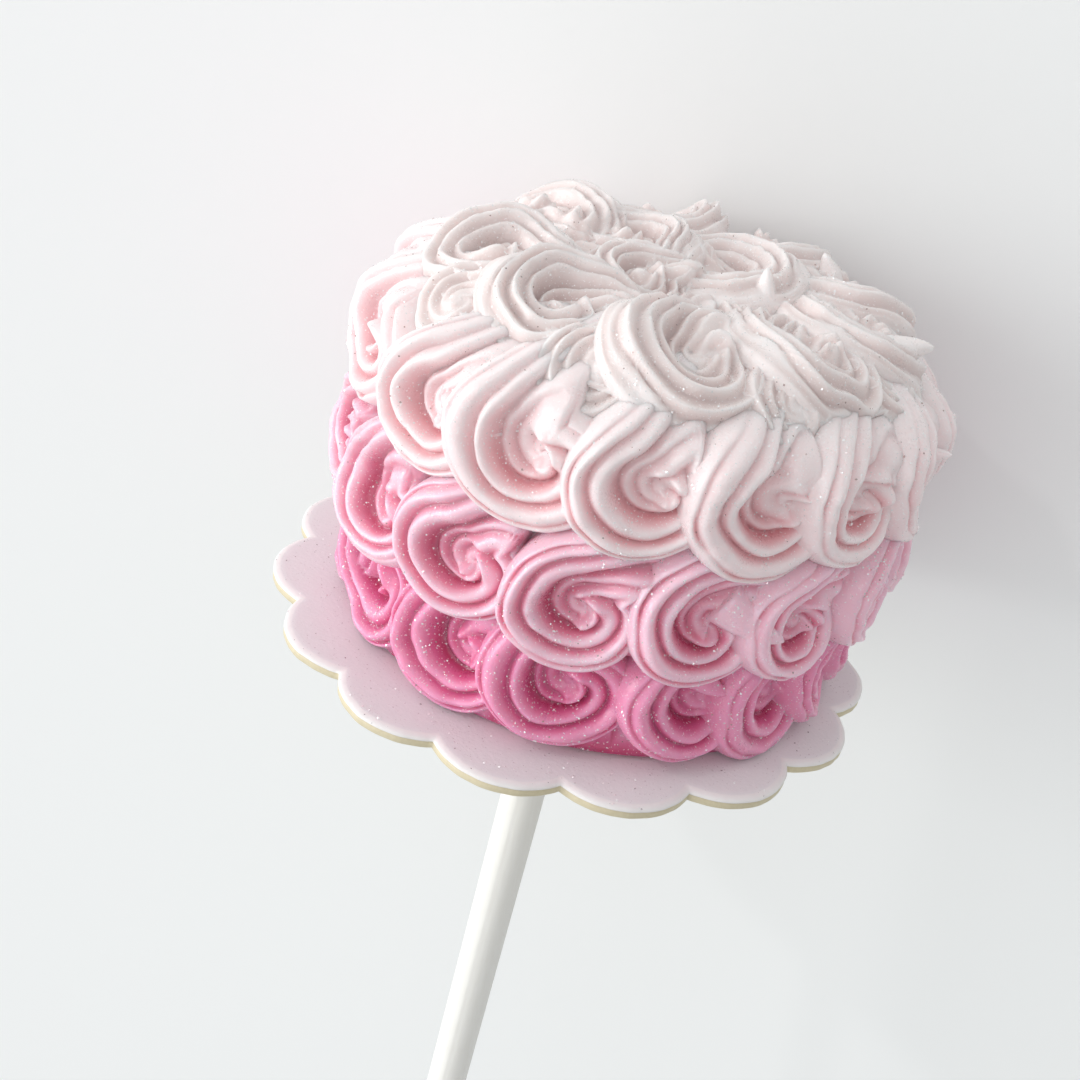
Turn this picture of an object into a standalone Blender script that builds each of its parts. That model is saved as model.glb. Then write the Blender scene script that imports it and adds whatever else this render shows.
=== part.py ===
"""A little round cake on a stick, covered all over in piped rosettes, lying down on its back.

Four bands of rosettes, white on top and a deeper pink band by band below, stand on a scalloped
disc of card. A round paper stick runs up through the disc into the cake.

Everything is modelled upright first, in the cake's own frame: Z up the stick, the middle of the
disc's upper face at the origin and the shown side towards -Y. The parent empty then lays it down
with the shown side up. It rests on two tips of the disc and on the two widest bands.
"""
import math
import random

import bmesh
import bpy
from mathutils import Matrix

# Scalloped disc, in metres
SCALLOPS = 15
DISC_RADIUS = 0.0255
SCALLOP_RADIUS = 0.0062
DISC_THICKNESS = 0.0010
DISC_ROUNDING = 0.0003

# Paper stick
STICK_DIAMETER = 0.004
STICK_LENGTH = 0.150
STICK_IN_CAKE = 0.024

# Cake: the bands stand a little off the middle of the disc
CAKE_SHIFT = 0.0010
TOP_SHIFT = 0.0015
PER_BAND = 15

# Each band: core radius, bottom and top of the core, height of the rosettes' middles,
# how far the swirls stand out, and by how many degrees the band is turned at the front
BANDS = {
    "bottom_row": dict(core=0.0182, low=0.0003, high=0.0090, middle=0.0056, proud=0.0035,
                       tall=0.0055, turned=9.1),
    "middle_row": dict(core=0.0197, low=0.0092, high=0.0184, middle=0.0134, proud=0.0039,
                       tall=0.0055, turned=5.6),
    "upper_row": dict(core=0.0198, low=0.0186, high=0.0278, middle=0.0234, proud=0.0038,
                      tall=0.0058, turned=13.9),
}
ROSETTE_WIDE = 0.0060

# White icing on top: a flat core with an outer ring of rosettes and a few in the middle
TOP_CORE = 0.0188
TOP_LOW = 0.0280
TOP_HIGH = 0.0293
TOP_PROUD = 0.0032
TOP_WIDE = 0.0060
OUTER_RING = dict(count=10, radius=0.0140, turned=19.1)
INNER_RING = dict(count=3, radius=0.0058, turned=26.1)

# One rosette: folds of the star nozzle that run out from its eye in a clockwise swirl
FOLDS = 5
FOLD_DEPTH = 0.0011
SWIRL = math.radians(225)
RINGS = (0.20, 0.42, 0.64, 0.84, 1.0)
EYE_DIP = 0.22
UNDERSIDE_WIDE = 0.80
UNDERSIDE_DEEP = 0.0016
SUNK = 0.0005
LEFT_PROUD = 0.09
LOWER_PROUD = 0.05
UNEVEN = 0.04

# Sides of the round cores and of the stick and its holes
CORE_SIDES = 32
STICK_SIDES = 16

# Clearance kept between pieces that touch, and the coarse dome that clears a swirl by it
GAP = 0.0003
DOME_RINGS = (0.45, 0.84, 1.0)
DOME_SPOKES = 10
DOME_SPARE = 0.0003

# Lying down: how far the floor is from the stick's line at the top band of rosettes, and where
FLOOR_AT_BAND = 0.0221
BAND_CONTACT = 0.0234

COLOURS = {
    "top_icing": (0.90, 0.86, 0.84),
    "upper_row": (0.90, 0.72, 0.71),
    "middle_row": (0.80, 0.32, 0.42),
    "bottom_row": (0.66, 0.13, 0.31),
    "board": (0.84, 0.70, 0.74),
    "stick": (0.87, 0.86, 0.82),
}


def clear_scene():
    for obj in list(bpy.data.objects):
        bpy.data.objects.remove(obj)


def new_collection(name):
    group = bpy.data.collections.new(name)
    bpy.context.scene.collection.children.link(group)
    return group


def icing_or_card(name):
    """A matt material with the piece's own colour."""
    material = bpy.data.materials.new(name)
    material.use_nodes = True
    shader = material.node_tree.nodes["Principled BSDF"]
    shader.inputs["Base Color"].default_value = (*COLOURS[name], 1.0)
    shader.inputs["Roughness"].default_value = 0.55
    shader.inputs["Metallic"].default_value = 0.0
    return material


def add_object(name, mesh, group):
    obj = bpy.data.objects.new(name, mesh)
    group.objects.link(obj)
    return obj


def mesh_of(shape, name):
    mesh = bpy.data.meshes.new(name)
    bmesh.ops.recalc_face_normals(shape, faces=shape.faces)
    shape.to_mesh(mesh)
    shape.free()
    return mesh


def cylinder(name, radius, low, high, sides, group, x=0.0):
    shape = bmesh.new()
    middle = Matrix.Translation((x, 0.0, (low + high) / 2))
    bmesh.ops.create_cone(shape, cap_ends=True, segments=sides, radius1=radius, radius2=radius,
                          depth=high - low, matrix=middle)
    return add_object(name, mesh_of(shape, name), group)


def settle(obj):
    """Puts the evaluated mesh in the place of the object's modifiers."""
    evaluated = obj.evaluated_get(bpy.context.evaluated_depsgraph_get())
    mesh = bpy.data.meshes.new_from_object(evaluated)
    obj.modifiers.clear()
    obj.data = mesh


def boolean(obj, operation, group, solver="EXACT"):
    """Joins or cuts an object with a whole collection, whose objects then go."""
    modifier = obj.modifiers.new(operation.title(), "BOOLEAN")
    modifier.operation = operation
    modifier.operand_type = "COLLECTION"
    modifier.collection = group
    modifier.solver = solver
    settle(obj)
    for part in list(group.objects):
        bpy.data.objects.remove(part)
    bpy.data.collections.remove(group)


def drop_scraps(obj):
    """Keeps the one big body and drops what a cut has left loose."""
    shape = bmesh.new()
    shape.from_mesh(obj.data)
    left = set(shape.verts)
    bodies = []
    while left:
        body = {left.pop()}
        edge = list(body)
        while edge:
            vert = edge.pop()
            near = {e.other_vert(vert) for e in vert.link_edges} - body
            body |= near
            edge.extend(near)
        left -= body
        bodies.append(body)
    bodies.sort(key=len)
    for body in bodies[:-1]:
        bmesh.ops.delete(shape, geom=list(body), context="VERTS")
    shape.to_mesh(obj.data)
    shape.free()


def swell(s):
    """Height of a rosette from its eye, 0, to its rim, 1, as a share of its full height."""
    dome = math.sqrt(max(0.0, 1.0 - s ** 4))
    return dome * (1.0 - EYE_DIP * math.exp(-(s / 0.22) ** 2))


def swirl_disc(name, size, rings, spokes, swirl, height, bend, group):
    """A closed disc in its own frame: X along the band, Y up it and Z out of it.

    Rings run from the eye to the rim, each turned clockwise by its share of the swirl, and one
    more ring closes the underside. size is the half width and half height, and height gives a
    point's height from its share of the way out and its spoke. bend is the radius of the core
    that the disc lies round, or None on the flat top.
    """
    wide, tall, start, deep = size
    shape = bmesh.new()

    def add_vert(s, spoke, z):
        angle = start - swirl * s + spoke * 2 * math.pi / spokes
        x = wide * s * math.cos(angle)
        y = tall * s * math.sin(angle)
        z -= SUNK + LEFT_PROUD * x + LOWER_PROUD * y
        if bend:
            around = x / bend
            return shape.verts.new(((bend + z) * math.sin(around), y,
                                    (bend + z) * math.cos(around) - bend))
        return shape.verts.new((x, y, z))

    eye = add_vert(0.0, 0, height(0.0, 0))
    loops = [[add_vert(s, n, height(s, n)) for n in range(spokes)] for s in rings]
    straight = swirl * (UNDERSIDE_WIDE - 1) * spokes / 2 / math.pi
    loops.append([add_vert(UNDERSIDE_WIDE, n + straight, -deep) for n in range(spokes)])
    for n in range(spokes):
        shape.faces.new((eye, loops[0][n], loops[0][n - 1]))
    for inner, outer in zip(loops, loops[1:]):
        for n in range(spokes):
            shape.faces.new((inner[n - 1], inner[n], outer[n], outer[n - 1]))
    shape.faces.new(loops[-1])
    return add_object(name, mesh_of(shape, name), group)


def rosette(name, wide, tall, proud, bend, start, group):
    """One swirl: every second spoke is a fold of icing and the others are grooves."""
    def height(s, spoke):
        side = 1 if spoke % 2 == 0 else -1
        fade = min(1.0, s / 0.3) * (1.0 - 0.75 * s ** 6)
        return proud * swell(s) + side * FOLD_DEPTH / 2 * fade

    size = (wide, tall, start, UNDERSIDE_DEEP)
    return swirl_disc(name, size, RINGS, 2 * FOLDS, SWIRL, height, bend, group)


def clearing_dome(name, wide, tall, proud, bend, start, group):
    """A plain dome a little larger than a swirl all round, used to cut its neighbours."""
    def height(s, spoke):
        return (proud + FOLD_DEPTH / 2 + GAP + DOME_SPARE) * swell(s)

    size = (wide + GAP + DOME_SPARE, tall + GAP + DOME_SPARE, start, UNDERSIDE_DEEP + GAP)
    return swirl_disc(name, size, DOME_RINGS, DOME_SPOKES, 0.0, height, bend, group)


def band_places(band):
    """Azimuth of each rosette round a band: turned at the front, straight at the hidden back."""
    for n in range(PER_BAND):
        angle = 2 * math.pi * n / PER_BAND
        yield angle + math.radians(band["turned"]) * (1 + math.cos(angle)) / 2


def band_swirls(name, make, group):
    """The ring of swirls of one band, each as uneven as hand piping."""
    band = BANDS[name]
    draw = random.Random(name)
    for n, azimuth in enumerate(band_places(band)):
        size = 1.0 + draw.uniform(-UNEVEN, UNEVEN)
        start = draw.uniform(0, 2 * math.pi)
        swirl = make(f"{name}_swirl_{n}", ROSETTE_WIDE * size, band["tall"] * size,
                     band["proud"], band["core"], start, group)
        swirl.rotation_euler = (math.pi / 2, 0.0, azimuth)
        swirl.location = (band["core"] * math.sin(azimuth) + CAKE_SHIFT,
                          -band["core"] * math.cos(azimuth), band["middle"])


def top_swirls(make, group):
    """The swirls of the white top, in two rings."""
    draw = random.Random("top_icing")
    for ring in (OUTER_RING, INNER_RING):
        for n in range(ring["count"]):
            azimuth = 2 * math.pi * n / ring["count"] + math.radians(ring["turned"])
            size = TOP_WIDE * (1.0 + draw.uniform(-UNEVEN, UNEVEN))
            start = draw.uniform(0, 2 * math.pi)
            swirl = make(f"top_swirl_{n}", size, size, TOP_PROUD, None, start, group)
            swirl.rotation_euler = (0.0, 0.0, azimuth)
            swirl.location = (ring["radius"] * math.sin(azimuth) + TOP_SHIFT,
                              -ring["radius"] * math.cos(azimuth), TOP_HIGH)


def core_of(name, group, grow=0.0):
    """The plain round core that carries a band's swirls, or the cutter that clears it."""
    if name == "top_icing":
        return cylinder(name, TOP_CORE + grow, TOP_LOW - grow, TOP_HIGH + grow, CORE_SIDES, group,
                        TOP_SHIFT)
    band = BANDS[name]
    return cylinder(name, band["core"] + grow, band["low"] - grow, band["high"] + grow, CORE_SIDES,
                    group, CAKE_SHIFT)


def swirls_of(name, make, group):
    if name == "top_icing":
        top_swirls(make, group)
    else:
        band_swirls(name, make, group)


def make_icing(name, above, stick_hole, model):
    """One band of the cake: a core with its swirls joined on, cut clear of the band above."""
    band = core_of(name, model)
    swirls = new_collection(name + "_swirls")
    swirls_of(name, rosette, swirls)
    boolean(band, "UNION", swirls)
    if above:
        clear = new_collection(name + "_cutters")
        core_of(above, clear, GAP)
        swirls_of(above, clearing_dome, clear)
        # The exact solver leaves open edges where the domes graze the lowest band
        boolean(band, "DIFFERENCE", clear, "MANIFOLD")
    if stick_hole:
        hole = new_collection(name + "_hole")
        cylinder("stick_hole", STICK_DIAMETER / 2 + GAP, -DISC_THICKNESS, STICK_IN_CAKE + GAP,
                 STICK_SIDES, hole)
        boolean(band, "DIFFERENCE", hole)
    drop_scraps(band)
    return band


def scallop_points(steps=5):
    """The disc's outline: equal arcs that meet in notches, with one notch at the back."""
    centre = DISC_RADIUS - SCALLOP_RADIUS
    half = math.pi / SCALLOPS
    notch = centre * math.cos(half) + math.sqrt(SCALLOP_RADIUS ** 2 - (centre * math.sin(half)) ** 2)
    reach = math.atan2(notch * math.sin(half), notch * math.cos(half) - centre)
    for n in range(SCALLOPS):
        out = -math.pi / 2 + 2 * half * n
        for step in range(steps):
            turn = out - reach + 2 * reach * step / steps
            yield (centre * math.cos(out) + SCALLOP_RADIUS * math.cos(turn),
                   centre * math.sin(out) + SCALLOP_RADIUS * math.sin(turn))


def circle_points(radius, steps):
    for step in range(steps):
        turn = 2 * math.pi * step / steps
        yield radius * math.cos(turn), radius * math.sin(turn)


def make_board(model):
    """The scalloped disc: a flat outline with a hole for the stick."""
    outline = bpy.data.curves.new("board", "CURVE")
    outline.dimensions = "2D"
    outline.fill_mode = "BOTH"
    outline.extrude = DISC_THICKNESS / 2 - DISC_ROUNDING
    outline.bevel_depth = DISC_ROUNDING
    outline.bevel_resolution = 0
    outline.offset = -DISC_ROUNDING
    hole = circle_points(STICK_DIAMETER / 2 + GAP, STICK_SIDES)
    for points in (list(scallop_points()), list(hole)):
        spline = outline.splines.new("POLY")
        spline.points.add(len(points) - 1)
        for point, (x, y) in zip(spline.points, points):
            point.co = (x, y, 0.0, 1.0)
        spline.use_cyclic_u = True
    guide = add_object("board_outline", outline, model)
    evaluated = guide.evaluated_get(bpy.context.evaluated_depsgraph_get())
    shape = bmesh.new()
    shape.from_mesh(bpy.data.meshes.new_from_object(evaluated))
    bmesh.ops.remove_doubles(shape, verts=shape.verts, dist=0.00001)
    bmesh.ops.translate(shape, verts=shape.verts, vec=(0.0, 0.0, -DISC_THICKNESS / 2))
    bpy.data.objects.remove(guide)
    return add_object("board", mesh_of(shape, "board"), model)


def lay_down(root, parts):
    """Turns the cake on its back, sets the disc's lowest tip on the floor and centres the whole."""
    centre = DISC_RADIUS - SCALLOP_RADIUS
    floor_at_disc = centre * math.cos(math.pi / SCALLOPS) + SCALLOP_RADIUS
    lean = math.atan2(floor_at_disc - FLOOR_AT_BAND, BAND_CONTACT)
    root.rotation_mode = "ZYX"
    root.rotation_euler = (math.pi / 2 + lean, 0.0, math.pi)
    bpy.context.view_layer.update()
    board = parts["board"]
    root.location.z = -min((board.matrix_world @ v.co).z for v in board.data.vertices)
    bpy.context.view_layer.update()


def flatten_underside(obj):
    """Soft icing settles flat where it rests on the floor."""
    slab = new_collection(obj.name + "_floor")
    size = 4 * DISC_RADIUS
    shape = bmesh.new()
    bmesh.ops.create_cube(shape, size=size, matrix=Matrix.Translation((0.0, 0.0, -size / 2)))
    add_object("floor_cutter", mesh_of(shape, "floor_cutter"), slab)
    boolean(obj, "DIFFERENCE", slab, "MANIFOLD")


def centre_on_origin(root, parts):
    corners = [obj.matrix_world @ v.co for obj in parts.values() for v in obj.data.vertices]
    root.location.x -= (min(c.x for c in corners) + max(c.x for c in corners)) / 2
    root.location.y -= (min(c.y for c in corners) + max(c.y for c in corners)) / 2
    bpy.context.view_layer.update()


def finish(obj, name):
    obj.data.materials.clear()
    obj.data.materials.append(icing_or_card(name))
    obj.data.shade_smooth()
    obj.data.set_sharp_from_angle(angle=math.radians(40))


def main():
    clear_scene()
    model = new_collection("cake_on_a_stick")
    parts = {
        "top_icing": make_icing("top_icing", None, False, model),
        "upper_row": make_icing("upper_row", "top_icing", True, model),
        "middle_row": make_icing("middle_row", "upper_row", True, model),
        "bottom_row": make_icing("bottom_row", "middle_row", True, model),
        "board": make_board(model),
        "stick": cylinder("stick", STICK_DIAMETER / 2, STICK_IN_CAKE - STICK_LENGTH, STICK_IN_CAKE,
                          STICK_SIDES, model),
    }
    root = bpy.data.objects.new("cake_root", None)
    model.objects.link(root)
    for obj in parts.values():
        obj.parent = root
    lay_down(root, parts)
    flatten_underside(parts["upper_row"])
    flatten_underside(parts["middle_row"])
    centre_on_origin(root, parts)
    for name, obj in parts.items():
        finish(obj, name)


main()
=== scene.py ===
"""The looks of the little rosette cake on a stick: fine piped swirls, card, paper and glitter.

Lengths are in metres, apart from the tables that say millimetres. Every piece is worked out in
the cake's own frame, Z up the stick, the middle of the disc's upper face at the origin and the
shown side towards -Y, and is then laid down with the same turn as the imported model.
"""
import math

import bpy
import numpy as np
from mathutils import Matrix, Vector


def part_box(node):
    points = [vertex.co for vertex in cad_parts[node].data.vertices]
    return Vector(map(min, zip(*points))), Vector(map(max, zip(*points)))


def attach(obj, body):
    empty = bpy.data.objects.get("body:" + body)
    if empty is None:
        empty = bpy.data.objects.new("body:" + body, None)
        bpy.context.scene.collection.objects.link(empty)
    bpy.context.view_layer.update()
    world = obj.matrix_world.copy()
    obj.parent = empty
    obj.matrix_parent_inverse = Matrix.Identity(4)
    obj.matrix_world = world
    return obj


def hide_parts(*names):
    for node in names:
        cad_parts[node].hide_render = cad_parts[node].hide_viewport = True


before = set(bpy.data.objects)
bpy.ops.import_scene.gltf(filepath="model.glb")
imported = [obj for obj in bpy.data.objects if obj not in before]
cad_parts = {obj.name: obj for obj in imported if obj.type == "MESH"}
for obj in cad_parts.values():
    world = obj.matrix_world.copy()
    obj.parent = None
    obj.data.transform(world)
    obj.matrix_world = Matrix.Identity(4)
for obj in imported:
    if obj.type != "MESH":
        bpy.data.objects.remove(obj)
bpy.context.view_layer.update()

MM = 0.001

# Disc and stick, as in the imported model
SCALLOPS = 15
DISC_RADIUS = 0.0255
SCALLOP_RADIUS = 0.0062
DISC_THICKNESS = 0.0010
STICK_DIAMETER = 0.004
STICK_LENGTH = 0.150
STICK_IN_CAKE = 0.024
FLOOR_AT_BAND = 0.0221
BAND_CONTACT = 0.0234

# The stick's rolled paper: its seam, the turns that show at the foot and how deep they are there,
# the round-over at both ends and the dimple in the middle of the foot
PAPER_STEP = 0.00004
PAPER_TURNS = 7
PAPER_DEPTH = 0.00005
END_ROUND = 0.0001
FOOT_DIMPLE = 0.0002

# Bands of icing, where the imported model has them. Nudges, in degrees, move single swirls to where
# the photograph has them, and past its shoulder a swirl leans inwards, by recede.
DISC_GAP = 0.0003
CAKE_SHIFT = 0.0010
TOP_SHIFT = 0.0015
PER_BAND = 15
BANDS = {
    "bottom_row": dict(core=0.0182, low=0.0003, high=0.0090, middle=0.0056, proud=0.0034,
                       tall=0.0067, wide=0.0067, turned=9.1, nudges={-2: -6, 0: -2, 1: 4, 2: 1},
                       shoulder=0.009, recede=120),
    "middle_row": dict(core=0.0197, low=0.0092, high=0.0184, middle=0.0134, proud=0.0036,
                       tall=0.0060, wide=0.0063, turned=5.6, nudges={-2: 3, -1: 1, 2: -2},
                       shoulder=0.009, recede=120),
    "upper_row": dict(core=0.0198, low=0.0186, high=0.0278, middle=0.0232, proud=0.0035,
                      tall=0.0064, wide=0.0064, turned=13.9, nudges={-2: 5.5, -1: 1, 2: -3},
                      shoulder=0.0014, recede=210),
}

# Cores under the swirls: how many sides, how the lowest one widens at its foot, in radius and
# height, how a band's upper edge is rounded, in inset and depth, and the white top's
CORE_SIDES = 96
SKIRT = ((0.0196, 0.0003), (0.0196, 0.0008), (0.0188, 0.0022), (0.0184, 0.0040))
UPPER_EDGE = ((0.0, 0.002), (0.0008, 0.0006), (0.003, 0.0))
TOP_CORE = 0.0188
TOP_LOW = 0.0280
TOP_LIP = 0.0003
TOP_HIGH = 0.0293
TOP_PROUD = 0.0030
TOP_FLAT = 0.0145
TOP_BEND = 0.0050

# Swirls on the top, in degrees and millimetres, and the small plain ones between them
TOP_SWIRLS = [
    dict(turned=-118, out=15.6, wide=6.6), dict(turned=-65.4, out=14.4, wide=7.2),
    dict(turned=-28, out=13.2, wide=7.2), dict(turned=17.5, out=13.7, wide=7.8),
    dict(turned=58.6, out=13.6, wide=7.2), dict(turned=93, out=15.0, wide=6.5),
    dict(turned=127, out=15.2, wide=6.8), dict(turned=161, out=15.8, wide=6.4),
    dict(turned=-163, out=16.4, wide=6.4), dict(turned=-134, out=8.3, wide=6.4, lift=0.3),
    dict(turned=165, out=5.9, wide=8.0, lift=0.3, lower_proud=0.12),
    dict(turned=-45, out=3.6, wide=5.6, lift=0.1),
]
TOP_FILLERS = [
    dict(turned=-5.5, out=17.6, wide=5.6), dict(turned=-47, out=18.0, wide=5.0),
    dict(turned=38.5, out=17.8, wide=5.2), dict(turned=76, out=17.8, wide=4.8),
    dict(turned=-91, out=18.0, wide=5.0), dict(turned=110, out=18.0, wide=4.6),
    dict(turned=28, out=6.4, wide=4.6), dict(turned=70, out=8.0, wide=4.6),
]

# Small tails left where the piping was pulled away, in degrees and millimetres: where each starts
# and ends, in a swirl's own right, up and out, and its radius at the start
TAILS = {
    "middle_row": [dict(turned=38.5, start=(-2.4, 2.0, 1.0), end=(1.6, -0.3, 3.3), wide=1.6)],
    "upper_row": [dict(turned=99.0, start=(0.0, 1.0, 1.4), end=(0.6, 1.4, 4.2), wide=1.0),
                  dict(turned=78.0, start=(0.0, 0.4, 1.4), end=(0.5, 1.9, 3.9), wide=0.9)],
    "bottom_row": [dict(turned=36.5, start=(-1.4, 3.0, 0.9), end=(0.8, 1.6, 2.9), wide=1.3)],
    "top_icing": [dict(turned=90.8, out=6.3, start=(0.0, 0.0, 0.6), end=(0.5, 0.4, 3.7), wide=1.2),
                  dict(turned=132.1, out=14.3, start=(0.2, 0.0, 1.0), end=(1.0, 0.6, 3.2), wide=1.1),
                  dict(turned=87.1, out=16.4, start=(-0.4, 0.2, 1.2), end=(1.2, -1.2, 3.1), wide=1.1)],
}

# One swirl: a strip of piping with lobes, wound outwards clockwise to the cut where it ended. Its
# outline is a share of the swirl's size, and grows as the strip winds.
RINGS, SPOKES = ((54, 120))
OUTLINE_START = 0.627
OUTLINE_GROWTH = 0.56
CUT_AT = math.radians(44)
CUT_SPREAD = 0.35
CUT_BLEND = math.radians(26)
TAIL = math.radians(62)
OPENING = math.radians(75)
OPENING_EASE = 0.25
OPEN_BY = 0.7
STEP_SIDE = math.radians(172)
FULL_DROP_WIDE = 0.0068
BOWL = 0.30
BOWL_WIDE = 0.42
SUNK = 0.0004
UNDERSIDE = ((0.96, -0.0004), (0.80, -0.0014))
UNDERSIDE_LOW = -0.0016
# Painted shade: the shares of the darker groove colours taken by hidden cores and undersides, and by
# the white top's core
HIDDEN_SHADE = 0.8
TOP_CORE_SHADE = 0.6
RING_CROWDING = 1.5

# Where a swirl's features ease in, as a start and a length, in shares of its size or in turns
EYE_REACH = (0.03, 0.26)
OPEN_REACH = (0.22, 0.35)
BOWL_REACH = (0.0, 0.25)
BOWL_TURNS = (0.94, 0.15)
BOWL_END = (0.78, 0.22)
TAIL_TURNS = (0.75, 0.5)

# What makes each swirl differ from the next
SIZE_SPREAD = 0.06
FOLD_WANDER = 0.05
RELIEF_SPREAD = (0.85, 1.15)
EGG_SHAPE = (0.06, 0.04)
WOBBLE = dict(count=5, shortest=0.004, longest=0.009)
SWELL = dict(count=4, shortest=0.006, longest=0.012)
LUMPS = dict(count=8, shortest=0.0012, longest=0.004)
SWELL_HEIGHT = 0.00022
LUMP_HEIGHT = 0.00007
CURL_HEIGHT = (0.0007, 0.0012)
CURL_RADIUS = 0.0011
CURL_WIDTH = 0.0005

# The ways the piping set: round lobes on the side, thin crests over wide troughs on the top, and
# plainer ones for the small swirls that fill gaps. Grooves are shares of the strip's width.
# Outer and inner strengths run from the rim inwards, one for each edge of a lobe.
SIDE_STYLE = dict(crisp=0.0, grooves=((0.23, 0.31), (0.56, 0.66)), outer=(0.0, 0.7, 0.85, 1.0),
                  inner=(1.0, 0.7, 0.85, 1.0), inner_share=(0.60, 0.90), fold=0.0011, fine=0.75,
                  rim=0.0014, rim_power=0.5, terrace=0.0, left_proud=0.14, lower_proud=0.05,
                  step=0.0012)
TOP_STYLE = dict(crisp=0.8, grooves=((0.17, 0.25), (0.43, 0.52), (0.70, 0.79)),
                 outer=(0.4, 0.9, 1.0, 1.0, 1.0), inner=(1.0, 0.9, 0.9, 0.9, 1.0),
                 inner_share=(0.80, 1.0), fold=0.0013, fine=0.95, rim=0.0028, rim_power=0.7,
                 terrace=0.95, left_proud=0.16, lower_proud=-0.10, step=0.0012)
PLAIN_STYLE = dict(crisp=0.7, grooves=((0.24, 0.34), (0.56, 0.68)), outer=(0.4, 0.9, 1.0, 0.9),
                   inner=(0.9, 0.8, 0.6, 0.5), inner_share=(0.5, 0.8), fold=0.0012, fine=1.0,
                   rim=0.0022, rim_power=0.8, terrace=0.9, left_proud=0.05, lower_proud=0.05,
                   step=0.0003)
FILLER_PROUD = 0.7

# Glitter: how large a flake is, how much each leans, how clustered they are, and on which pieces
FLAKE_RADIUS = (0.00004, 0.00011)
FLAKE_THICK = 0.000012
FLAKE_NARROW = 0.8
FLAKE_LIFT = 0.3
FLAKE_LEAN = 0.35
FLAKE_CLOUDS = dict(count=6, shortest=0.003, longest=0.008)
FLAKE_CLUSTER = 0.9
BARE_BY_FLOOR = 0.0004
BARE_BELOW = -0.0003
BRIGHT_FLAKE = (1.0, 0.98, 0.98)
# Painted reflection: the darker colours of a few flakes, as if they mirrored dark surroundings
DARK_REFLECTION_FLAKE = (0.54, 0.42, 0.40)
DARK_REFLECTION_DISC_FLAKE = (0.45, 0.38, 0.40)
GLITTER = {
    "upper_glitter": dict(on=("upper_row", "top_icing"), slot="white_icing", metal=0.25,
                          count=15000, seed=21, dark_reflection=DARK_REFLECTION_FLAKE),
    "lower_glitter": dict(on=("middle_row", "bottom_row"), slot="mid_pink_icing", metal=0.35,
                          count=17000, seed=21, dark_reflection=DARK_REFLECTION_FLAKE),
    "disc_glitter": dict(on=("board",), slot="card_disc", metal=0.3, count=1600, seed=22,
                         dark_reflection=DARK_REFLECTION_DISC_FLAKE),
}

# No point of the icing or the glitter is closer to the floor than this
LOWEST = 0.00002

# How far below its core each band's fade starts
BAND_FADE_BELOW = 0.002
TOP_FADE_BELOW = 0.003

# Profile of the disc's rim from the upper face down: inset from the edge, height, and which
# surface it is (0 the face, 1 the white shoulder, its white partly a painted highlight, 2 the cut side)
RIM = ((0.0010, 0.0, 0.0), (0.00066, 0.0, 0.0), (0.00048, -0.00003, 1.0), (0.00028, -0.00009, 1.0),
       (0.00014, -0.00017, 1.0), (0.00004, -0.00027, 1.0), (0.00002, -0.00036, 1.0),
       (0.00012, -0.00041, 2.0), (0.00008, -0.00046, 2.0), (0.00005, -0.00092, 2.0),
       (0.00012, -DISC_THICKNESS, 2.0))
EDGE_WAVES = dict(count=8, shortest=0.0012, longest=0.004)
EDGE_ROUGH = 0.00004
EDGE_SEED = 31
HOLE_GAP = 0.0002

# Colours, in pairs where a noise mixes them
# Pale specks on the icing: partly real glitter powder, partly painted sparkle
DUST_AND_SPARKLE = (0.92, 0.89, 0.90)
FACE_PAPER = ((0.84, 0.84, 0.84), (0.80, 0.79, 0.795))
FACE_SPECKS = (0.40, 0.30, 0.33)
# The shoulder's white: partly the paper's own, partly a painted highlight
WHITE_SHOULDER_AND_HIGHLIGHT = ((0.90, 0.88, 0.87), (0.84, 0.80, 0.79))
CUT_CARD = ((0.74, 0.66, 0.47), (0.62, 0.54, 0.36))
STICK_PAPER = ((0.90, 0.89, 0.86), (0.84, 0.82, 0.77))
FLOOR_PAINT = (0.90, 0.91, 0.905, 1.0)
TENT_WHITE = (0.97, 0.99, 1.0, 1.0)

# Camera of the photograph, in the cake's frame
CAMERA_PLACE = (0.01141, -0.10679, 0.06665)
CAMERA_TARGET = (-0.00439, 0.00154, 0.0043)
CAMERA_ROLL = math.radians(13.9)
PHOTO_SIDE = 1080
FOCAL_PIXELS = 1480
SENSOR = 36.0

# Light: a large soft key, three small lamps that make the glitter sparkle, and a tent that is
# brighter on the key's side. Sides are in the camera's own directions: right, up and back.
KEY_SIDE = (-0.95, 0.20, 0.22)
KEY_LAMP = dict(distance=2.5, size=1.4, power=33.0)
SPARKLE_SIDES = ((-0.6, 0.5, 0.7), (0.35, 0.75, 0.6), (-0.1, -0.2, 1.0))
SPARKLE_LAMP = dict(distance=2.0, size=0.08, power=2.8)
TENT_LEVEL = 0.62
TENT_SLOPE = 0.40
LAMP_TARGET = (0.0, 0.0, 0.015)
FLOOR_HALF = 2.0


def laid_down():
    """The turn and place that lay the cake on its back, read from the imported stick."""
    centre = DISC_RADIUS - SCALLOP_RADIUS
    floor_at_disc = centre * math.cos(math.pi / SCALLOPS) + SCALLOP_RADIUS
    lean = math.atan2(floor_at_disc - FLOOR_AT_BAND, BAND_CONTACT)
    turn = Matrix.Rotation(math.pi / 2 + lean, 4, "X") @ Matrix.Rotation(math.pi, 4, "Z")
    low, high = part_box("stick")
    middle = turn @ Vector((0.0, 0.0, STICK_IN_CAKE - STICK_LENGTH / 2))
    return Matrix.Translation((low + high) / 2 - middle) @ turn


TO_WORLD = laid_down()


def to_world(points):
    matrix = np.array(TO_WORLD)
    return points @ matrix[:3, :3].T + matrix[:3, 3]


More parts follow.
